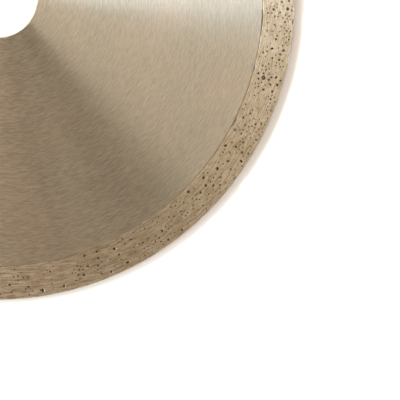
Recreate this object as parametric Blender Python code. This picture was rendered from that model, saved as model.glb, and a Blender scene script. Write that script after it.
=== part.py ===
"""Continuous-rim diamond blade, 150 mm across, for a 20 mm arbor.

Two made pieces: a ground steel core, and a sintered metal-bond diamond rim that is keyed round the core's
edge. The core's edge is a tongue with dovetail notches. The rim's two lips cover that tongue, and its keys
fill the notches. A shallow groove in each face of the core runs beside the lips. The origin is the centre
of the bore at mid-thickness, and +Z is the blade's axis.
"""

import math

import bmesh
import bpy

MM = 0.001

# Driving dimensions.
OUTER_DIAMETER = 150 * MM
BORE_DIAMETER = 20 * MM
RIM_HEIGHT = 8 * MM
RIM_THICKNESS = 2.2 * MM
CORE_THICKNESS = 1.4 * MM

# The keyed joint between core and rim.
TONGUE_DEPTH = 2.2 * MM
JOINT_GROOVE_WIDTH = 0.4 * MM
JOINT_GROOVE_DEPTH = 0.06 * MM
KEY_COUNT = 32
KEY_DEPTH = 1.5 * MM
KEY_MOUTH_WIDTH = 3.6 * MM
KEY_ROOT_WIDTH = 5.0 * MM
JOINT_GAP = 0.04 * MM

# Edge breaks.
BORE_CHAMFER = 0.1 * MM
RIM_OUTER_CHAMFER = 0.2 * MM
RIM_LIP_CHAMFER = 0.1 * MM

# Facets round a full turn, shared by both pieces so that their walls lie side by side.
FACETS = 192
MERGE_DISTANCE = 0.0001 * MM
SHARP_ANGLE = math.radians(30)

RIM_OUTER_RADIUS = OUTER_DIAMETER / 2
RIM_INNER_RADIUS = RIM_OUTER_RADIUS - RIM_HEIGHT
BORE_RADIUS = BORE_DIAMETER / 2
TONGUE_RADIUS = RIM_INNER_RADIUS + TONGUE_DEPTH
TONGUE_THICKNESS = CORE_THICKNESS - 2 * JOINT_GROOVE_DEPTH
CUTTER_OVERRUN = 1 * MM


def clear_scene():
    for obj in list(bpy.data.objects):
        bpy.data.objects.remove(obj)


def metal(name, colour, roughness):
    material = bpy.data.materials.new(name)
    material.use_nodes = True
    shader = material.node_tree.nodes["Principled BSDF"]
    shader.inputs["Base Color"].default_value = (*colour, 1)
    shader.inputs["Metallic"].default_value = 1
    shader.inputs["Roughness"].default_value = roughness
    return material


def object_from(bm, name, material=None):
    bmesh.ops.recalc_face_normals(bm, faces=bm.faces)
    mesh = bpy.data.meshes.new(name)
    bm.to_mesh(mesh)
    bm.free()
    obj = bpy.data.objects.new(name, mesh)
    bpy.context.scene.collection.objects.link(obj)
    if material:
        mesh.materials.append(material)
    return obj


def hide_cutter(obj):
    obj.hide_render = True
    obj.display_type = "WIRE"
    return obj


def turned(name, profile, material=None):
    """A ring: the closed outline profile, as (radius, height) pairs, spun about the blade's axis."""
    bm = bmesh.new()
    verts = [bm.verts.new((radius, 0, height)) for radius, height in profile]
    edges = [bm.edges.new((a, b)) for a, b in zip(verts, verts[1:] + verts[:1])]
    bmesh.ops.spin(
        bm,
        geom=verts + edges,
        cent=(0, 0, 0),
        axis=(0, 0, 1),
        angle=math.tau,
        steps=FACETS,
        use_merge=True,
    )
    bmesh.ops.remove_doubles(bm, verts=bm.verts, dist=MERGE_DISTANCE)
    return object_from(bm, name, material)


def cut(obj, cutter, name):
    modifier = obj.modifiers.new(name, "BOOLEAN")
    modifier.operation = "DIFFERENCE"
    modifier.solver = "EXACT"
    modifier.object = cutter


def key_prisms(name, shrink, half_height):
    """The dovetail prisms that stand in the tongue's notches, each face moved inwards by shrink."""
    root_radius = TONGUE_RADIUS - KEY_DEPTH
    outer_radius = TONGUE_RADIUS + CUTTER_OVERRUN
    taper = (KEY_ROOT_WIDTH - KEY_MOUTH_WIDTH) / KEY_DEPTH
    root_half = KEY_ROOT_WIDTH / 2 - shrink
    outer_half = root_half - taper * (outer_radius - root_radius) / 2
    bm = bmesh.new()
    for index in range(KEY_COUNT):
        angle = math.tau * (index + 0.5) / KEY_COUNT
        along = (math.cos(angle), math.sin(angle))
        across = (-along[1], along[0])
        corners = [
            (root_radius + shrink, -root_half),
            (outer_radius, -outer_half),
            (outer_radius, outer_half),
            (root_radius + shrink, root_half),
        ]
        outline = [
            bm.verts.new(
                (r * along[0] + w * across[0], r * along[1] + w * across[1], -half_height)
            )
            for r, w in corners
        ]
        base = bm.faces.new(outline)
        grown = bmesh.ops.extrude_face_region(bm, geom=[base])["geom"]
        lifted = [item for item in grown if isinstance(item, bmesh.types.BMVert)]
        bmesh.ops.translate(bm, verts=lifted, vec=(0, 0, 2 * half_height))
    return hide_cutter(object_from(bm, name))


def steel_core(material):
    """The ground disc with its bore, and the notched tongue that the rim closes over."""
    half = CORE_THICKNESS / 2
    bore_flat = half - BORE_CHAMFER
    bore_face = BORE_RADIUS + BORE_CHAMFER
    groove_edge = RIM_INNER_RADIUS - JOINT_GROOVE_WIDTH
    groove_floor = groove_edge + JOINT_GROOVE_DEPTH
    tongue_half = TONGUE_THICKNESS / 2
    profile = [
        (BORE_RADIUS, -bore_flat),
        (bore_face, -half),
        (groove_edge, -half),
        (groove_floor, -tongue_half),
        (TONGUE_RADIUS, -tongue_half),
        (TONGUE_RADIUS, tongue_half),
        (groove_floor, tongue_half),
        (groove_edge, half),
        (bore_face, half),
        (BORE_RADIUS, bore_flat),
    ]
    core = turned("steel_core", profile, material)
    cut(core, key_prisms("core_notch_cutter", 0, half + CUTTER_OVERRUN), "notches")
    return core


def joint_cavity():
    """The space inside the rim for the core's tongue, one joint gap larger than the tongue all round."""
    half = TONGUE_THICKNESS / 2 + JOINT_GAP
    inner = RIM_INNER_RADIUS - CUTTER_OVERRUN
    outer = TONGUE_RADIUS + JOINT_GAP
    profile = [(inner, -half), (outer, -half), (outer, half), (inner, half)]
    cavity = hide_cutter(turned("joint_cavity_cutter", profile))
    keys = key_prisms("rim_key_former", JOINT_GAP, half + CUTTER_OVERRUN)
    cut(cavity, keys, "keys")
    return cavity


def diamond_rim(material):
    """The sintered ring: bond and grit in one body, thicker than the core for side clearance."""
    half = RIM_THICKNESS / 2
    profile = [
        (RIM_INNER_RADIUS, -half + RIM_LIP_CHAMFER),
        (RIM_INNER_RADIUS + RIM_LIP_CHAMFER, -half),
        (RIM_OUTER_RADIUS - RIM_OUTER_CHAMFER, -half),
        (RIM_OUTER_RADIUS, -half + RIM_OUTER_CHAMFER),
        (RIM_OUTER_RADIUS, half - RIM_OUTER_CHAMFER),
        (RIM_OUTER_RADIUS - RIM_OUTER_CHAMFER, half),
        (RIM_INNER_RADIUS + RIM_LIP_CHAMFER, half),
        (RIM_INNER_RADIUS, half - RIM_LIP_CHAMFER),
    ]
    rim = turned("diamond_rim", profile, material)
    cut(rim, joint_cavity(), "joint_cavity")
    return rim


def shade(obj):
    obj.data.shade_smooth()
    obj.data.set_sharp_from_angle(angle=SHARP_ANGLE)


def main():
    clear_scene()
    ground_steel = metal("ground_steel", (0.46, 0.40, 0.31), 0.34)
    metal_bond = metal("metal_bond", (0.43, 0.34, 0.22), 0.52)
    for piece in (steel_core(ground_steel), diamond_rim(metal_bond)):
        shade(piece)


main()
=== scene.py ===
"""Looks for the continuous-rim diamond blade: ground steel core, pitted sintered rim, diamond grit.

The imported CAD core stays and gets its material. The CAD rim is replaced by a finer closed ring of nearly the
same section, whose flanks have real pits, a worn lip and a chipped cutting edge. Crystals sit in some of the
pits and in the cutting face. Everything is in the frame of the CAD, and lengths are in metres unless a
comment says otherwise.
"""

import math
import random

import bmesh
import bpy
from mathutils import Matrix, Vector, noise
from mathutils.geometry import delaunay_2d_cdt


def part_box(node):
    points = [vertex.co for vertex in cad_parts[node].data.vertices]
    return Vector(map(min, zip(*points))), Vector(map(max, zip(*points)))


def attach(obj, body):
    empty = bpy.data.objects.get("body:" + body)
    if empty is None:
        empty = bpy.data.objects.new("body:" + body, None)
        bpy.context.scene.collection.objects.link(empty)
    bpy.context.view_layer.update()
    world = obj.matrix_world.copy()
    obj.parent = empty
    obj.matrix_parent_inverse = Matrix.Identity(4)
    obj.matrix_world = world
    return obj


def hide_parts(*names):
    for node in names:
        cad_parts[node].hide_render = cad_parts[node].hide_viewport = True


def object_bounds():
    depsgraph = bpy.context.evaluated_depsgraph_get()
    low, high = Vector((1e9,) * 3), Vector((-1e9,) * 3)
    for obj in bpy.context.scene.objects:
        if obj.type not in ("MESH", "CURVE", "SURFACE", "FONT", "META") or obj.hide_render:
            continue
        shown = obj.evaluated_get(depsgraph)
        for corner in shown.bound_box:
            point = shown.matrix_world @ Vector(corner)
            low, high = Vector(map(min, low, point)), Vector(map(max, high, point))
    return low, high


MM = 0.001
SEED = 11

# The blade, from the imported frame.
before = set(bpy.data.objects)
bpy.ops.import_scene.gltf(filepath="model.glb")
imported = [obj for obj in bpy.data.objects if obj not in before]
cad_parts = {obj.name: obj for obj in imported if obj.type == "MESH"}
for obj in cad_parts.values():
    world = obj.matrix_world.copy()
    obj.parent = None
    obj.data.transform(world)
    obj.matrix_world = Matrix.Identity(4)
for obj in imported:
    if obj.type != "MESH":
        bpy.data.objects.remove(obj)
CAD_LOW, CAD_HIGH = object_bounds()
CORE_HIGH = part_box("steel_core")[1]
RIM_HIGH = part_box("diamond_rim")[1]
OUTER_RADIUS = RIM_HIGH.x
HALF_RIM = RIM_HIGH.z
HALF_CORE = CORE_HIGH.z
TONGUE_RADIUS = CORE_HIGH.x
FLOOR_Z = CAD_LOW.z

# The rim's section and the keyed joint, as the CAD has them, with a sliver of air round the core's tongue.
RIM_HEIGHT = 8 * MM
GROOVE_DEPTH = 0.06 * MM
GROOVE_WIDTH = 0.4 * MM
INNER_RADIUS = OUTER_RADIUS - RIM_HEIGHT
GROOVE_RADIUS = INNER_RADIUS - GROOVE_WIDTH
HALF_TONGUE = HALF_CORE - GROOVE_DEPTH
JOINT_GAP = 0.04 * MM
KEY_COUNT = 32
KEY_DEPTH = 1.5 * MM
KEY_MOUTH_WIDTH = 3.6 * MM
KEY_ROOT_WIDTH = 5.0 * MM

# The drawn lip stands a little inside the CAD's, over the joint groove, which shows as a dark line.
LIP_RADIUS = INNER_RADIUS - 0.36 * MM
LIP_CHAMFER = 0.06 * MM
OUTER_CHAMFER = 0.15 * MM

# How finely the rim is drawn: steps round the ring, and steps along the arc between two keys.
STEPS = 1440
ARC_STEPS = 8

# The cutting face's levels, as shares of the half thickness, and the share of a flank's chip that each takes.
WALL_LEVELS = (
    (-0.86, 0.7),
    (-0.62, 0.3),
    (-0.36, 0.0),
    (-0.12, 0.0),
    (0.12, 0.0),
    (0.36, 0.0),
    (0.62, 0.3),
    (0.86, 0.7),
)

# Patterns of noise round the ring: how many bumps a turn has, and a seed.
LIP_WAVES = (14, 1843)
LIP_RIPPLES = (190, 3)
LIP_FINE_RIPPLES = (560, 5)
LIP_BITES = (110, 8)
EDGE_WEAR = (420, 12)
EDGE_CHIPS = (330, 17)
EDGE_NICKS = (700, 23)
WALL_ROUGHNESS = (1500, 31)
WALL_WANDER = (900, 41)
OPEN_SECTORS = (6, 649)

# How far apart two seeds are in noise space.
SEED_STEP = 7.31

# How much is worn away at least, and how much more each pattern takes, in millimetres per unit of noise.
LIP_WAVE_SIZE = 0.18
LIP_RIPPLE_SIZE = 0.05
LIP_FINE_RIPPLE_SIZE = 0.04
LIP_BITE_SIZE = 0.8
EDGE_LEAST_WEAR = 0.03
EDGE_WEAR_SIZE = 0.03
EDGE_CHIP_SIZE = 1.1
EDGE_NICK_SIZE = 0.9
WALL_LEAST_WEAR = 0.02
WALL_WEAR_SIZE = 0.10

# How far the lip's waves swing, as a share of their size, and how far a level of the cutting face wanders, as
# a share of the half thickness.
LIP_WAVE_SWING = 2.0
WALL_WANDER_SIZE = 0.03

# The noise level at which a bite, a chip or a nick starts, and how deep a chip can go.
LIP_BITE_START = 0.30
EDGE_CHIP_START = 0.36
EDGE_NICK_START = 0.40
DEEPEST_CHIP = 0.45 * MM

# The share of pits kept, on average and how much it swings from sector to sector.
OPENNESS = 0.68
OPENNESS_SWING = 1.05

# The pits of one flank. A pit's size is half its length, and a clump is a large one, of pits run together.
PIT_COUNT = 1350
SMALLEST_PIT = 0.26 * MM
LARGEST_PIT = 0.58 * MM
PIT_SPREAD = 0.12 * MM
PIT_SLIMNESS = (0.55, 1.0)
PIT_TILT_SPREAD = 0.6
PIT_ROUGHNESS = (0.50, 1.14)
PIT_CORNERS = 7
ROOMY_PIT = 0.38 * MM
ROOMY_PIT_CORNERS = 8
PIT_MARGIN = 0.08 * MM
PIT_GAP = 0.015 * MM
PIT_GAP_SHARE = 0.03
CLUMP_SHARE = 0.12
CLUMP_SIZE = (0.60 * MM, 1.05 * MM)
CLUMP_HEART = 0.36
CLUMP_LOBES = 5
LOBE_DISTANCE = (0.34, 0.66)
LOBE_SIZE = (0.24, 0.38)
CLUMP_ROUGHNESS = (0.88, 1.08)
CLUMP_CORNERS = 18

# The cells in which a pit's neighbours are looked for, wider than the gap between any two that could touch.
PIT_CELL = 2.5 * MM

# Most pits lie in clusters, and most clusters in two bands: the share of the rim's height, and a spread.
PIT_CLUSTERS = 110
CLUSTERED_SHARE = 0.9
CLUSTER_SPREAD = (0.15 * MM, 0.45 * MM)
CLUSTER_STRETCH = 2.0
INNER_BAND = (0.34, 0.08)
OUTER_BAND = (0.84, 0.07)

# A pit's bowl: how far each level is drawn in towards the middle, and its share of the pit's depth.
DEEPEST_PIT = 0.26 * MM
PIT_DEPTH_SHARE = (0.70, 1.05)
SHOULDER_INSET = (0.14, 0.30)
SHOULDER_DEPTH = (0.18, 0.34)
FLOOR_INSET = (0.42, 0.58)
FLOOR_DEPTH = (0.8, 1.0)

# The crystals. Sizes are from the middle to the furthest corner.
CRYSTAL_KINDS = 24
CRYSTAL_TIPS = (0.80, 1.0)
CRYSTAL_CORNERS = (0.46, 0.62)
FILLED_PITS = 0.32
LARGEST_PIT_CRYSTAL = 0.22 * MM
PIT_CRYSTAL_SHARE = (0.42, 0.66)
PIT_CRYSTAL_DROP = (0.95, 1.25)
EDGE_CRYSTALS = 1300
EDGE_CRYSTAL_SIZE = (0.12 * MM, 0.23 * MM)
EDGE_CRYSTAL_LEVEL = 0.78
EDGE_CRYSTAL_SINK = (1.0, 1.15)

# The triangulation's kind of output, and its merging distance.
CONVEX_HULL = 0
CDT_EPSILON = 1e-9


def polar(radius, angle, z=0.0):
    return Vector((radius * math.cos(angle), radius * math.sin(angle), z))


def round_noise(angle, pattern, variant):
    """Smooth noise, about -1 to 1, that closes on itself after a full turn. Each variant is another draw."""
    per_turn, seed = pattern
    size = per_turn / math.tau
    return noise.noise((size * math.cos(angle), size * math.sin(angle), (seed + variant) * SEED_STEP))


def mesh_object(name, verts, faces, material):
    mesh = bpy.data.meshes.new(name)
    mesh.from_pydata(verts, [], faces)
    mesh.materials.append(material)
    obj = bpy.data.objects.new(name, mesh)
    bpy.context.scene.collection.objects.link(obj)
    return obj


# ---------------------------------------------------------------------------------------------- materials

# The Mix node's sockets for colours.
MIX_FIRST, MIX_SECOND, MIX_RESULT = 6, 7, 2

NOISE_ROUGHNESS = 0.55

# A quarter turn from the tangent: grooves spread a reflection across themselves.
ACROSS_THE_GROOVES = 0.25

# The flanks are ground on circles round a point a little off the bore's axis, and some strokes on other ones.
GRIND_CENTRE = (1.2 * MM, 1.1 * MM, 0)
CROSSING_CENTRE = (4 * MM, 2 * MM, 0)
SLANTING_CENTRE = (-3 * MM, 4 * MM, 0)

# Kinds of stroke: about how long and how wide, how much finer detail it has, and its offset in the noise.
STEEL_HAIRS = (2.0 * MM, 0.26 * MM, 0.0, 0.0)
STEEL_BANDS = (13.0 * MM, 0.6 * MM, 1.0, 40.0)
STEEL_CROSSING = (1.9 * MM, 0.26 * MM, 0.0, 9.0)
STEEL_SLANTING = (1.8 * MM, 0.23 * MM, 0.0, 70.0)
BOND_TAILS = (2.9 * MM, 0.28 * MM, 1.0, 5.0)
BOND_BANDS = (7.0 * MM, 0.9 * MM, 2.0, 90.0)

# Kinds of noise with no direction: how many bumps a metre, and how much finer detail it has.
STEEL_GRAIN = (3600.0, 0.0)
STEEL_MOTTLE = (55.0, 3.0)
BOND_PORES = (1900.0, 1.0)
BOND_PATCHES = (260.0, 2.0)
BOND_MOTTLE = (420.0, 3.0)
SWARF_AND_SHADE_CRUMBS = (2600.0, 1.0)
GRIT_TINT = (900.0, 1.0)
GRIT_FROST = (5000.0, 2.0)

# Dark swarf and painted shade start this far inside the joint groove's edge and are full this far beyond it.
# In a pit they are full at this depth, and the strip beside the lip, this wide, has none.
GROOVE_SWARF_AND_SHADE_START = 0.02 * MM
GROOVE_SWARF_AND_SHADE_FULL = 0.16 * MM
PIT_SWARF_AND_SHADE_DEPTH = 0.06 * MM
UNDARKENED_LIP_WIDTH = 0.5 * MM


class Nodes:
    """A short way to write a material's node tree."""

    def __init__(self, name):
        self.material = bpy.data.materials.new(name)
        self.material.use_nodes = True
        self.tree = self.material.node_tree
        self.shader = self.tree.nodes["Principled BSDF"]

    def add(self, kind, inputs=None, **settings):
        node = self.tree.nodes.new("ShaderNode" + kind)
        for key, value in settings.items():
            setattr(node, key, value)
        for key, value in (inputs or {}).items():
            self.put(node.inputs[key], value)
        return node

    def put(self, socket, value):
        if isinstance(value, bpy.types.NodeSocket):
            self.tree.links.new(value, socket)
        else:
            socket.default_value = value

    def shade(self, inputs):
        """Sets or links the shader's own sockets, by name."""
        for key, value in inputs.items():
            self.put(self.shader.inputs[key], value)

    def math(self, operation, *values):
        return self.add("Math", dict(enumerate(values)), operation=operation).outputs[0]

    def vector(self, operation, *values):
        return self.add("VectorMath", dict(enumerate(values)), operation=operation).outputs["Vector"]

    def scaled(self, vector, scale):
        return self.add("VectorMath", {0: vector, "Scale": scale}, operation="SCALE").outputs["Vector"]

    def spread(self, value, low, high, low_to, high_to):
        """The value taken from one range to another, and held at its ends."""
        return self.add("MapRange", {0: value, 1: low, 2: high, 3: low_to, 4: high_to}).outputs[0]

    def noise(self, vector, scale, detail):
        inputs = {"Vector": vector, "Scale": scale, "Detail": detail, "Roughness": NOISE_ROUGHNESS}
        return self.add("TexNoise", inputs).outputs[0]

    def ramp(self, value, *stops):
        node = self.add("ValToRGB", {0: value})
        points = node.color_ramp.elements
        while len(points) < len(stops):
            points.new(0.5)
        for point, (place, colour) in zip(points, stops):
            point.position = place
            point.color = (*colour, 1)
        return node.outputs[0]

    def mix(self, factor, first, second, blend="MIX"):
        node = self.add("Mix", data_type="RGBA", blend_type=blend)
        self.put(node.inputs[0], factor)
        self.put(node.inputs[MIX_FIRST], first)
        self.put(node.inputs[MIX_SECOND], second)
        return node.outputs[MIX_RESULT]

    def layered(self, base, layers):
        """The base with each layer mixed over it in turn: (share, value, ramp stops)."""
        for share, value, *stops in layers:
            base = self.mix(share, base, self.ramp(value, *stops))
        return base

    def bump(self, height, strength, distance):
        inputs = {"Height": height, "Strength": strength, "Distance": distance}
        return self.add("Bump", inputs).outputs[0]

    def blade_space(self):
        """The position, the position with its height left out, the distance from the axis, and the height."""
        place = self.add("TexCoord").outputs["Object"]
        x, y, z = self.add("SeparateXYZ", {0: place}).outputs
        flat = self.add("CombineXYZ", {0: x, 1: y}).outputs[0]
        radius = self.add("VectorMath", {0: flat}, operation="LENGTH").outputs["Value"]
        return place, flat, radius, z


def grey(level):
    return (level, level, level)


def streaks(nodes, flat, stroke, centre=GRIND_CENTRE, below=0.0):
    """Noise in strokes along circles round the centre, and down a wall too."""
    length, width, detail, offset = stroke
    distance = nodes.add("VectorMath", {0: flat, 1: centre}, operation="DISTANCE").outputs["Value"]
    lane = nodes.math("MULTIPLY_ADD", nodes.math("ADD", distance, below), 1 / width, offset)
    across = nodes.add("CombineXYZ", {2: lane}).outputs[0]
    stretched = nodes.vector("ADD", nodes.scaled(flat, 1 / length), across)
    return nodes.noise(stretched, 1.0, detail)


def grooves(nodes, flat, strokes, stray):
    """Sets the shader's tangent along the grinding circles, each groove straying a little to either side."""
    outward = nodes.vector("NORMALIZE", nodes.vector("SUBTRACT", flat, GRIND_CENTRE))
    tangent = nodes.vector("CROSS_PRODUCT", (0, 0, 1), outward)
    shift = nodes.scaled(outward, nodes.spread(strokes, 0.25, 0.75, -stray, stray))
    nodes.shade({
        "Tangent": nodes.vector("ADD", tangent, shift),
        "Anisotropic Rotation": ACROSS_THE_GROOVES,
    })


def ground_steel():
    """Steel ground in circles: short hairline scratches over longer bands, and dark swarf with painted shade
    in the joint groove.
    """
    nodes = Nodes("ground_steel_look")
    _, flat, radius, _ = nodes.blade_space()
    hairs = streaks(nodes, flat, STEEL_HAIRS)
    bands = streaks(nodes, flat, STEEL_BANDS)
    crossing = streaks(nodes, flat, STEEL_CROSSING, centre=CROSSING_CENTRE)
    slanting = streaks(nodes, flat, STEEL_SLANTING, centre=SLANTING_CENTRE)
    grain = nodes.noise(flat, *STEEL_GRAIN)
    mottle = nodes.noise(flat, *STEEL_MOTTLE)
    hair_low = (0.37, (0.49, 0.458, 0.405))
    hair_high = (0.63, (0.975, 0.93, 0.855))
    steel = nodes.layered(nodes.ramp(hairs, hair_low, hair_high), (
        (0.28, bands, (0.36, (0.50, 0.47, 0.415)), (0.64, (0.92, 0.88, 0.81))),
        (0.30, crossing, hair_low, hair_high),
        (0.26, slanting, hair_low, hair_high),
        (0.24, grain, (0.3, (0.42, 0.395, 0.35)), (0.7, (0.97, 0.93, 0.855))),
        (0.20, mottle, (0.38, (0.83, 0.72, 0.64)), (0.62, (0.57, 0.60, 0.52))),
    ))
    # Painted shade, with some dark swarf, in the joint groove beside the rim: darker, duller and less metallic
    # past its edge.
    groove_shade_start, groove_shade_full = GROOVE_RADIUS - GROOVE_SWARF_AND_SHADE_START, GROOVE_RADIUS + GROOVE_SWARF_AND_SHADE_FULL
    groove_swarf_and_shade = nodes.spread(radius, groove_shade_start, groove_shade_full, 0.0, 1.0)
    polish = nodes.ramp(hairs, (0.3, grey(0.38)), (0.7, grey(0.30)))
    relief = nodes.math("MULTIPLY_ADD", hairs, 0.6, nodes.math("MULTIPLY", bands, 0.4))
    nodes.shade({
        "Base Color": nodes.mix(groove_swarf_and_shade, steel, (0.15, 0.125, 0.09, 1)),
        "Roughness": nodes.mix(groove_swarf_and_shade, polish, (0.8, 0.8, 0.8, 1)),
        "Metallic": nodes.spread(groove_swarf_and_shade, 0.0, 1.0, 1.0, 0.2),
        "Anisotropic": 1.0,
        "Normal": nodes.bump(relief, 0.08, 0.03 * MM),
    })
    grooves(nodes, flat, crossing, stray=0.04)
    return nodes.material


def sintered_bond():
    """Bronze bond with ground flanks: light and dark tails along the circles, pores darkened with painted
    shade, and dark swarf with painted shade in the pits.
    """
    nodes = Nodes("sintered_bond_look")
    place, flat, radius, z = nodes.blade_space()
    below = nodes.math("SUBTRACT", HALF_RIM, z)
    tails = streaks(nodes, flat, BOND_TAILS, below=below)
    bands = streaks(nodes, flat, BOND_BANDS, below=below)
    pores = nodes.noise(place, *BOND_PORES)
    patches = nodes.noise(place, *BOND_PATCHES)
    mottle = nodes.noise(place, *BOND_MOTTLE)
    dark_tail, bronze, bright_tail = (0.28, 0.22, 0.135), (0.675, 0.585, 0.445), (1.0, 0.975, 0.91)
    bond = nodes.layered(nodes.ramp(tails, (0.32, dark_tail), (0.5, bronze), (0.61, bright_tail)), (
        (0.30, pores, (0.3, (0.32, 0.255, 0.17)), (0.7, (0.95, 0.86, 0.70))),
        (0.22, bands, (0.3, (0.48, 0.40, 0.29)), (0.7, (0.90, 0.795, 0.635))),
        (0.15, mottle, (0.3, (0.48, 0.40, 0.29)), (0.7, (0.87, 0.765, 0.61))),
    ))
    # Open pores too small to draw, shown as spots of painted shade, crowded in some patches and rare in
    # others.
    crowding = nodes.spread(patches, 0.35, 0.65, -0.14, 0.0)
    painted_pore_shade = nodes.ramp(nodes.math("SUBTRACT", pores, crowding), (0.25, grey(0.40)), (0.33, grey(1.0)))
    bond = nodes.mix(1.0, bond, painted_pore_shade, "MULTIPLY")
    dirty_patch = nodes.ramp(patches, (0.36, (0.92, 0.895, 0.85)), (0.50, grey(1.0)))
    bond = nodes.mix(1.0, bond, dirty_patch, "MULTIPLY")
    # Below the flank, a pit's wall and floor are dull and dark: grinding swarf and painted shade in the
    # hollow.
    depth = nodes.math("SUBTRACT", HALF_RIM, nodes.math("ABSOLUTE", z))
    sunk = nodes.spread(depth, 0.0, PIT_SWARF_AND_SHADE_DEPTH, 0.0, 1.0)
    inside_edge = nodes.math("LESS_THAN", radius, OUTER_RADIUS - 2 * OUTER_CHAMFER)
    beyond_lip = nodes.math("GREATER_THAN", radius, LIP_RADIUS + UNDARKENED_LIP_WIDTH)
    pit = nodes.math("MULTIPLY", nodes.math("MULTIPLY", sunk, inside_edge), beyond_lip)
    crumbs = nodes.noise(place, *SWARF_AND_SHADE_CRUMBS)
    swarf_and_pit_shade = nodes.ramp(crumbs, (0.46, (0.034, 0.018, 0.005)), (0.70, (0.19, 0.12, 0.048)))
    polish = nodes.ramp(tails, (0.3, grey(0.47)), (0.75, grey(0.34)))
    relief = nodes.math("MULTIPLY_ADD", tails, 0.6, nodes.math("MULTIPLY", pores, 0.5))
    nodes.shade({
        "Base Color": nodes.mix(pit, bond, swarf_and_pit_shade),
        "Roughness": nodes.mix(pit, polish, (0.85, 0.85, 0.85, 1)),
        "Metallic": nodes.spread(pit, 0.0, 1.0, 1.0, 0.15),
        "Anisotropic": 0.85,
        "Specular IOR Level": 0.2,
        "Normal": nodes.bump(relief, 0.95, 0.09 * MM),
    })
    grooves(nodes, flat, tails, stray=0.10)
    return nodes.material


def diamond_crystal():
    """Synthetic grit: olive to pale yellow, hard and glossy, each crystal a little different."""
    nodes = Nodes("diamond_grit_look")
    place = nodes.add("TexCoord").outputs["Object"]
    tint = nodes.noise(place, *GRIT_TINT)
    frost = nodes.noise(place, *GRIT_FROST)
    nodes.shade({
        "Base Color": nodes.ramp(
            tint, (0.34, (0.13, 0.10, 0.04)), (0.48, (0.28, 0.22, 0.11)), (0.6, (0.66, 0.59, 0.42))
        ),
        "Roughness": nodes.ramp(frost, (0.3, grey(0.28)), (0.7, grey(0.55))),
        "IOR": 2.1,
    })
    return nodes.material


# ------------------------------------------------------------------------------------------------ the rim


def lip_radius(angle, side):
    """The lip's worn inner edge, which stands over the joint groove: slow waves, ripples, a few bites."""
    wave = LIP_WAVE_SIZE * max(0.0, 1 + LIP_WAVE_SWING * round_noise(angle, LIP_WAVES, side))
    coarse = LIP_RIPPLE_SIZE * abs(round_noise(angle, LIP_RIPPLES, side))
    fine = LIP_FINE_RIPPLE_SIZE * abs(round_noise(angle, LIP_FINE_RIPPLES, side))
    bite = LIP_BITE_SIZE * max(0.0, round_noise(angle, LIP_BITES, side) - LIP_BITE_START)
    return LIP_RADIUS + (wave + (coarse + fine) + bite) * MM


def chip_depth(angle, side):
    """How far the edge of a flank is chipped away at this angle; mostly nothing."""
    chip = EDGE_CHIP_SIZE * max(0.0, round_noise(angle, EDGE_CHIPS, side) - EDGE_CHIP_START)
    nick = EDGE_NICK_SIZE * max(0.0, round_noise(angle, EDGE_NICKS, side) - EDGE_NICK_START)
    return min(DEEPEST_CHIP, (chip + nick) * MM)


def edge_radius(angle, side):
    """The flank's outer edge: worn by a few hundredths of a millimetre, with small chips."""
    wear = (EDGE_LEAST_WEAR + EDGE_WEAR_SIZE * abs(round_noise(angle, EDGE_WEAR, side))) * MM
    return OUTER_RADIUS - OUTER_CHAMFER - wear - chip_depth(angle, side)


def wall_radius(angle, index):
    """The cutting face at one of its levels: dressed rough, and nowhere past the blade's diameter."""
    wear = WALL_LEAST_WEAR + WALL_WEAR_SIZE * abs(round_noise(angle, WALL_ROUGHNESS, index))
    return OUTER_RADIUS - wear * MM


def porosity(angle, side):
    """The share of pits kept at this angle: some sectors of the ring are more open than others."""
    return min(1.0, OPENNESS + OPENNESS_SWING * round_noise(angle, OPEN_SECTORS, side))


def clear_of_edges(radius, angle, size, side):
    """Whether a pit of this size keeps clear of the lip and of the chipped outer edge."""
    reach = PIT_ROUGHNESS[1] * size + PIT_MARGIN
    for offset in (-reach / radius, 0, reach / radius):
        if radius - reach < lip_radius(angle + offset, side) + LIP_CHAMFER:
            return False
        if radius + reach > edge_radius(angle + offset, side):
            return False
    return True


def choose_clusters(rng):
    """Where the pits crowd together: (radius, angle, spread)."""
    clusters = []
    for _ in range(PIT_CLUSTERS):
        level = rng.choice((rng.gauss(*INNER_BAND), rng.gauss(*OUTER_BAND), rng.random()))
        radius = INNER_RADIUS + level * (OUTER_RADIUS - INNER_RADIUS)
        clusters.append((radius, rng.uniform(0, math.tau), rng.uniform(*CLUSTER_SPREAD)))
    return clusters


def choose_place(rng, clusters):
    """The radius and angle of a pit, in one of the clusters or anywhere on the flank."""
    if rng.random() < CLUSTERED_SHARE:
        centre, middle, spread = rng.choice(clusters)
        radius = centre + rng.gauss(0, spread)
        return radius, middle + rng.gauss(0, CLUSTER_STRETCH * spread) / centre
    radius = math.sqrt(rng.uniform(INNER_RADIUS**2, OUTER_RADIUS**2))
    return radius, rng.uniform(0, math.tau)


def choose_size(rng):
    size = min(LARGEST_PIT, SMALLEST_PIT + rng.expovariate(1 / PIT_SPREAD))
    if rng.random() < CLUMP_SHARE:
        size = rng.uniform(*CLUMP_SIZE)
    return size


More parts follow.
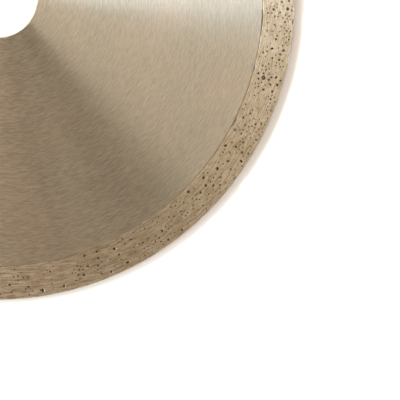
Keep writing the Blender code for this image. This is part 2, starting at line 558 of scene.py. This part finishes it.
def choose_pits(rng, side):
    """The pits, none overlapping, as (radius, angle, long half axis, short half axis, tilt)."""
    clusters = choose_clusters(rng)
    apart = PIT_ROUGHNESS[1] + PIT_GAP_SHARE
    taken = {}
    pits = []
    while len(pits) < PIT_COUNT:
        radius, angle = choose_place(rng, clusters)
        size = choose_size(rng)
        if rng.random() > porosity(angle, side) or not clear_of_edges(radius, angle, size, side):
            continue
        x, y = radius * math.cos(angle), radius * math.sin(angle)
        column, row = int(x // PIT_CELL), int(y // PIT_CELL)
        near = [p for i in (-1, 0, 1) for j in (-1, 0, 1) for p in taken.get((column + i, row + j), ())]
        if any(math.hypot(x - px, y - py) < apart * (size + other) + PIT_GAP for px, py, other in near):
            continue
        taken.setdefault((column, row), []).append((x, y, size))
        short_half = size * rng.uniform(*PIT_SLIMNESS)
        pits.append((radius, angle, size, short_half, rng.gauss(math.pi / 2, PIT_TILT_SPREAD)))
    return pits


def reach_of(circles, turn):
    """How far the union of a few circles round the origin goes in this direction."""
    reach = 0.0
    for x, y, size in circles:
        along = x * math.cos(turn) + y * math.sin(turn)
        square = size**2 - x**2 - y**2 + along**2
        if square > 0:
            reach = max(reach, along + math.sqrt(square))
    return reach


def clump_circles(rng):
    """A clump's heart and the lobes round it, as (x, y, radius) shares of the clump's size."""
    circles = [(0.0, 0.0, CLUMP_HEART)]
    for _ in range(CLUMP_LOBES):
        heading, away = rng.uniform(0, math.tau), rng.uniform(*LOBE_DISTANCE)
        circles.append((away * math.cos(heading), away * math.sin(heading), rng.uniform(*LOBE_SIZE)))
    return circles


def pit_outline(rng, pit):
    """The mouth of a pit, anticlockwise from above, as 2-D points."""
    radius, angle, long_half, short_half, tilt = pit
    if long_half > LARGEST_PIT:
        circles, roughness, count = clump_circles(rng), CLUMP_ROUGHNESS, CLUMP_CORNERS
    else:
        circles, roughness = [(0.0, 0.0, 1.0)], PIT_ROUGHNESS
        count = ROOMY_PIT_CORNERS if long_half > ROOMY_PIT else PIT_CORNERS
    centre = polar(radius, angle)
    start = rng.uniform(0, math.tau)
    points = []
    for index in range(count):
        turn = start + math.tau * index / count
        rough = reach_of(circles, turn) * rng.uniform(*roughness)
        local = Vector((long_half * rough * math.cos(turn), short_half * rough * math.sin(turn), 0))
        points.append(centre + Matrix.Rotation(angle + tilt, 3, "Z") @ local)
    return [Vector((p.x, p.y)) for p in points]


def filled(points, names, loops):
    """Triangles between nested loops of 2-D points, holes left open, anticlockwise, as the points' names."""
    walls = {frozenset(pair) for loop in loops for pair in zip(loop, loop[1:] + loop[:1])}
    made = delaunay_2d_cdt(points, [tuple(pair) for pair in walls], [], CONVEX_HULL, CDT_EPSILON, True)
    made_points, _, made_faces, first_points = made[:4]
    if len(made_points) != len(points):
        raise ValueError("two outlines cross")
    triangles = [[first_points[i][0] for i in triangle] for triangle in made_faces]
    owners = {}
    for index, (a, b, c) in enumerate(triangles):
        for pair in ((a, b), (b, c), (c, a)):
            owners.setdefault(frozenset(pair), []).append(index)
    # Walking in from the hull, each wall crossed changes between outside and inside.
    inside = {}
    waiting = [(users[0], pair in walls) for pair, users in owners.items() if len(users) == 1]
    while waiting:
        index, state = waiting.pop()
        if index in inside:
            continue
        inside[index] = state
        a, b, c = triangles[index]
        for pair in map(frozenset, ((a, b), (b, c), (c, a))):
            waiting.extend((other, state != (pair in walls)) for other in owners[pair] if other not in inside)
    return [[names[i] for i in triangle] for index, triangle in enumerate(triangles) if inside[index]]


def flank_sheet(verts, faces, outer_ring, inner_ring, outlines, side):
    """Fills one flank between two rings of vertices, apart from the pit mouths, and returns the mouths."""
    names = outer_ring + inner_ring
    points = [Vector((verts[i][0], verts[i][1])) for i in names]
    loops = [list(range(len(outer_ring))), list(range(len(outer_ring), len(points)))]
    mouths = []
    for outline in outlines:
        mouth = list(range(len(verts), len(verts) + len(outline)))
        loops.append(list(range(len(points), len(points) + len(outline))))
        points.extend(outline)
        names.extend(mouth)
        verts.extend((point.x, point.y, side * HALF_RIM) for point in outline)
        mouths.append(mouth)
    faces.extend(triangle[::side] for triangle in filled(points, names, loops))
    return mouths


def sink_pit(rng, verts, faces, mouth, pit, side):
    """The bowl under a pit's mouth: a crumbled shoulder, then a steep wall to a smaller uneven floor."""
    radius, angle, long_half = pit[:3]
    centre = polar(radius, angle)
    deep = min(DEEPEST_PIT, long_half * rng.uniform(*PIT_DEPTH_SHARE))
    shoulder, floor = [], []
    for level, inset, depth in (
        (shoulder, SHOULDER_INSET, SHOULDER_DEPTH),
        (floor, FLOOR_INSET, FLOOR_DEPTH),
    ):
        for index in mouth:
            x, y, z = verts[index]
            inward = Vector((x, y, 0)).lerp(centre, rng.uniform(*inset))
            level.append(len(verts))
            verts.append((inward.x, inward.y, z - side * deep * rng.uniform(*depth)))
    bottom = len(verts)
    verts.append((centre.x, centre.y, side * (HALF_RIM - deep)))
    for upper, lower in ((mouth, shoulder), (shoulder, floor)):
        for a, b, c, d in zip(upper, upper[1:] + upper[:1], lower[1:] + lower[:1], lower):
            faces.append([a, b, c, d][::side])
    for d, c in zip(floor, floor[1:] + floor[:1]):
        faces.append([d, c, bottom][::side])


def ring_of(verts, radius_of, z_of):
    """One closed ring of vertices, anticlockwise from above."""
    ring = []
    for step in range(STEPS):
        angle = math.tau * step / STEPS
        ring.append(len(verts))
        verts.append(tuple(polar(radius_of(angle), angle, z_of(angle))))
    return ring


def bridge(faces, lower, upper):
    """Joins two rings with a wall that faces out when lower is the one below."""
    for a, b, c, d in zip(lower, lower[1:] + lower[:1], upper[1:] + upper[:1], upper):
        faces.append([a, b, c, d])


def cavity_outline():
    """The outer wall of the rim's cavity: the tongue's circle, with the rim's dovetail keys in it."""
    clear = TONGUE_RADIUS + JOINT_GAP
    root = TONGUE_RADIUS - KEY_DEPTH + JOINT_GAP
    root_half = KEY_ROOT_WIDTH / 2 - JOINT_GAP
    mouth_half = KEY_MOUTH_WIDTH / 2 - JOINT_GAP
    reach = math.sqrt(clear**2 - mouth_half**2)
    corners = ((reach, -mouth_half), (root, -root_half), (root, root_half), (reach, mouth_half))
    points = []
    for index in range(KEY_COUNT):
        middle = math.tau * (index + 0.5) / KEY_COUNT
        along, across = polar(1, middle), polar(1, middle + math.pi / 2)
        points.extend(along * distance + across * offset for distance, offset in corners)
        start = middle + math.asin(mouth_half / clear)
        end = middle + math.tau / KEY_COUNT - math.asin(mouth_half / clear)
        for step in range(1, ARC_STEPS):
            points.append(polar(clear, start + (end - start) * step / ARC_STEPS))
    return points


def lip_underside(verts, faces, lip_ring, cavity_ring, side):
    """The face of a lip that lies over the tongue, between the lip's edge and the cavity's outline."""
    names = cavity_ring + lip_ring
    points = [Vector((verts[i][0], verts[i][1])) for i in names]
    loops = [list(range(len(cavity_ring))), list(range(len(cavity_ring), len(names)))]
    faces.extend(triangle[::-side] for triangle in filled(points, names, loops))


def flank(rng, verts, faces, side):
    """One pitted flank and its lip. Returns the outer edge's ring, the lip's rings going in, and the pits."""
    edge = ring_of(verts, lambda a: edge_radius(a, side), lambda a: side * HALF_RIM)
    lip = ring_of(verts, lambda a: lip_radius(a, side) + LIP_CHAMFER, lambda a: side * HALF_RIM)
    pits = choose_pits(rng, side)
    outlines = [pit_outline(rng, pit) for pit in pits]
    mouths = flank_sheet(verts, faces, edge, lip, outlines, side)
    for mouth, pit in zip(mouths, pits):
        sink_pit(rng, verts, faces, mouth, pit, side)
    lip_low = ring_of(verts, lambda a: lip_radius(a, side), lambda a: side * (HALF_RIM - LIP_CHAMFER))
    under = ring_of(verts, lambda a: lip_radius(a, side), lambda a: side * (HALF_TONGUE + JOINT_GAP))
    return edge, (lip, lip_low, under), pits


def cutting_face(verts, faces, bottom_edge, top_edge):
    """The outer wall, worn rough, from the bottom flank's edge up to the top flank's."""
    walls = [bottom_edge]
    for index, (level, chipped) in enumerate(WALL_LEVELS):
        side = 1 if level > 0 else -1
        walls.append(ring_of(
            verts,
            lambda a: wall_radius(a, index) - chipped * chip_depth(a, side),
            lambda a: (level + WALL_WANDER_SIZE * round_noise(a, WALL_WANDER, index)) * HALF_RIM,
        ))
    walls.append(top_edge)
    for lower, upper in zip(walls, walls[1:]):
        bridge(faces, lower, upper)


def rim_surface(rng):
    """The whole rim as one closed surface, and the pits of each flank for the crystals to sit in."""
    verts, faces = [], []
    top_edge, top_lip, top_pits = flank(rng, verts, faces, 1)
    bottom_edge, bottom_lip, bottom_pits = flank(rng, verts, faces, -1)
    cutting_face(verts, faces, bottom_edge, top_edge)
    for upper, lower in zip(top_lip, top_lip[1:]):
        bridge(faces, upper, lower)
    for lower, upper in zip(bottom_lip, bottom_lip[1:]):
        bridge(faces, upper, lower)
    outline = cavity_outline()
    cavity = {}
    for side in (1, -1):
        cavity[side] = list(range(len(verts), len(verts) + len(outline)))
        verts.extend((p.x, p.y, side * (HALF_TONGUE + JOINT_GAP)) for p in outline)
    lip_underside(verts, faces, top_lip[-1], cavity[1], 1)
    lip_underside(verts, faces, bottom_lip[-1], cavity[-1], -1)
    bridge(faces, cavity[1], cavity[-1])
    return verts, faces, top_pits, bottom_pits


# ----------------------------------------------------------------------------------------------- the grit


def crystal(rng):
    """A blocky crystal of size 1: the hull of a few points near the tips and corners of a cut octahedron."""
    bm = bmesh.new()
    for sign in (1, -1):
        for axis in range(3):
            tip = Vector((0, 0, 0))
            tip[axis] = sign * rng.uniform(*CRYSTAL_TIPS)
            bm.verts.new(tip)
    for x in (1, -1):
        for y in (1, -1):
            for z in (1, -1):
                bm.verts.new(Vector((x, y, z)) * rng.uniform(*CRYSTAL_CORNERS))
    bmesh.ops.convex_hull(bm, input=bm.verts)
    loose = [v for v in bm.verts if not v.link_faces]
    bmesh.ops.delete(bm, geom=loose, context="VERTS")
    turn = Matrix.Rotation(rng.uniform(0, math.tau), 3, rng.choice("XYZ"))
    turn = Matrix.Rotation(rng.uniform(0, math.tau), 3, rng.choice("XYZ")) @ turn
    bmesh.ops.transform(bm, matrix=turn.to_4x4(), verts=bm.verts)
    bm.verts.index_update()
    shape = [v.co.copy() for v in bm.verts], [[v.index for v in f.verts] for f in bm.faces]
    bm.free()
    return shape


def scatter(rng, name, places, material):
    """One object of many closed crystals, at (centre, size) places."""
    kinds = [crystal(rng) for _ in range(CRYSTAL_KINDS)]
    verts, faces = [], []
    for centre, size in places:
        points, sides = rng.choice(kinds)
        spin = Matrix.Rotation(rng.uniform(0, math.tau), 3, "Z")
        first = len(verts)
        verts.extend(tuple(centre + spin @ (p * size)) for p in points)
        faces.extend([first + i for i in side] for side in sides)
    return mesh_object(name, verts, faces, material)


def flank_places(rng, pits, side):
    """A crystal in about one pit of three, its top level with the flank or just below it."""
    places = []
    for radius, angle, _, short_half, _ in pits:
        if rng.random() > FILLED_PITS:
            continue
        size = min(LARGEST_PIT_CRYSTAL, short_half * rng.uniform(*PIT_CRYSTAL_SHARE))
        drop = size * rng.uniform(*PIT_CRYSTAL_DROP)
        places.append((polar(radius, angle, side * (HALF_RIM - drop)), size))
    return places


def edge_places(rng):
    """Crystals held in the cutting face, sunk so that they stay inside the blade's diameter."""
    places = []
    for _ in range(EDGE_CRYSTALS):
        angle = rng.uniform(0, math.tau)
        height = rng.uniform(-EDGE_CRYSTAL_LEVEL, EDGE_CRYSTAL_LEVEL) * HALF_RIM
        size = rng.uniform(*EDGE_CRYSTAL_SIZE)
        places.append((polar(OUTER_RADIUS - size * rng.uniform(*EDGE_CRYSTAL_SINK), angle, height), size))
    return places


# -------------------------------------------------------------------------------------------- the setting

FLOOR_HALF = 1.5
FLOOR_COLOUR = (0.93, 0.96, 0.99, 1)

WORLD_COLOUR = (1.0, 0.78, 0.555, 1)
WORLD_STRENGTH = 0.333

# Soft rectangular lamps, all as far from the blade: name, azimuth anticlockwise from +X and elevation in
# degrees, width and height in metres, power in watts, colour. The first five stand from -X round to +Y, and
# each draws its own fan of light on the ground steel.
LAMP_DISTANCE = 2.0
LAMPS = (
    ("key", 177.5, 38, (0.4, 0.2), 17.2, (0.67, 0.765, 0.775)),
    ("left_fill", 153.7, 43, (0.766, 0.25), 9.35, (1.0, 0.90, 0.71)),
    ("corner_fill", 131.5, 43, (0.384, 0.25), 3.8, (1.0, 0.90, 0.71)),
    ("far_fill", 101.5, 43, (0.25, 0.25), 0.6, (1.0, 0.85, 0.62)),
    ("back_fill", 82.5, 45, (0.4, 0.5), 0.95, (1.0, 0.62, 0.38)),
    ("right_fill", 35, 52, (1.2, 1.2), 11.6, (1.0, 0.91, 0.92)),
    ("front_fill", 226, 55, (1.2, 1.2), 12.5, (1.0, 0.90, 0.75)),
    ("side_fill", 200, 38, (0.5, 0.25), 14.5, (0.82, 0.92, 1.0)),
)

# The camera leans towards -X from straight above its aim, by this many degrees.
CAMERA_LEAN = 8.5
CAMERA_AIM = Vector((50.97 * MM, -50.23 * MM, 0))
CAMERA_DISTANCE = 0.9
CAMERA_LENS = 323.4
CAMERA_FAR_CLIP = 10


def plain_floor():
    half = FLOOR_HALF
    corners = [(-half, -half, FLOOR_Z), (half, -half, FLOOR_Z), (half, half, FLOOR_Z), (-half, half, FLOOR_Z)]
    nodes = Nodes("pale_floor")
    nodes.shade({"Base Color": FLOOR_COLOUR, "Roughness": 0.9, "Specular IOR Level": 0.1})
    floor = mesh_object("floor", corners, [(0, 1, 2, 3)], nodes.material)


def soft_light(name, azimuth, elevation, size, power, colour):
    """A rectangular lamp aimed at the blade, and not seen by the camera."""
    data = bpy.data.lights.new(name, "AREA")
    data.shape = "RECTANGLE"
    data.size, data.size_y = size
    data.energy = power
    data.color = colour
    lamp = bpy.data.objects.new(name, data)
    lift = math.radians(elevation)
    back = polar(math.cos(lift), math.radians(azimuth), math.sin(lift))
    lamp.location = back * LAMP_DISTANCE
    lamp.rotation_mode = "QUATERNION"
    lamp.rotation_quaternion = back.to_track_quat("Z", "Y")
    lamp.visible_camera = False
    bpy.context.scene.collection.objects.link(lamp)


def studio():
    world = bpy.data.worlds.new("studio")
    bpy.context.scene.world = world
    world.use_nodes = True
    background = world.node_tree.nodes["Background"]
    background.inputs["Color"].default_value = WORLD_COLOUR
    background.inputs["Strength"].default_value = WORLD_STRENGTH
    for lamp in LAMPS:
        soft_light(*lamp)
    bpy.context.scene.view_settings.view_transform = "Standard"


def camera():
    """Nearly straight above, on the long lens of a product photograph, over one quarter of the blade."""
    data = bpy.data.cameras.new("camera")
    data.lens = CAMERA_LENS
    data.clip_end = CAMERA_FAR_CLIP
    eye = bpy.data.objects.new("camera", data)
    lean = math.radians(CAMERA_LEAN)
    back = Vector((-math.sin(lean), 0, math.cos(lean)))
    right = Vector((0, 1, 0)).cross(back).normalized()
    turned = Matrix((right, back.cross(right), back)).transposed()
    eye.matrix_world = Matrix.Translation(CAMERA_AIM + back * CAMERA_DISTANCE) @ turned.to_4x4()
    bpy.context.scene.collection.objects.link(eye)
    bpy.context.scene.camera = eye


# --------------------------------------------------------------------------------------------- put together


def main():
    rng = random.Random(SEED)
    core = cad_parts["steel_core"]
    core.data.materials.clear()
    core.data.materials.append(ground_steel())
    verts, faces, top_pits, bottom_pits = rim_surface(rng)
    rim = mesh_object("rim_body", verts, faces, sintered_bond())
    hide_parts("diamond_rim")
    grit = diamond_crystal()
    crystals = [
        scatter(rng, "grit_top", flank_places(rng, top_pits, 1), grit),
        scatter(rng, "grit_bottom", flank_places(rng, bottom_pits, -1), grit),
        scatter(rng, "grit_edge", edge_places(rng), grit),
    ]
    for piece in (rim, *crystals):
        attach(piece, "root")
    plain_floor()
    studio()
    camera()


main()
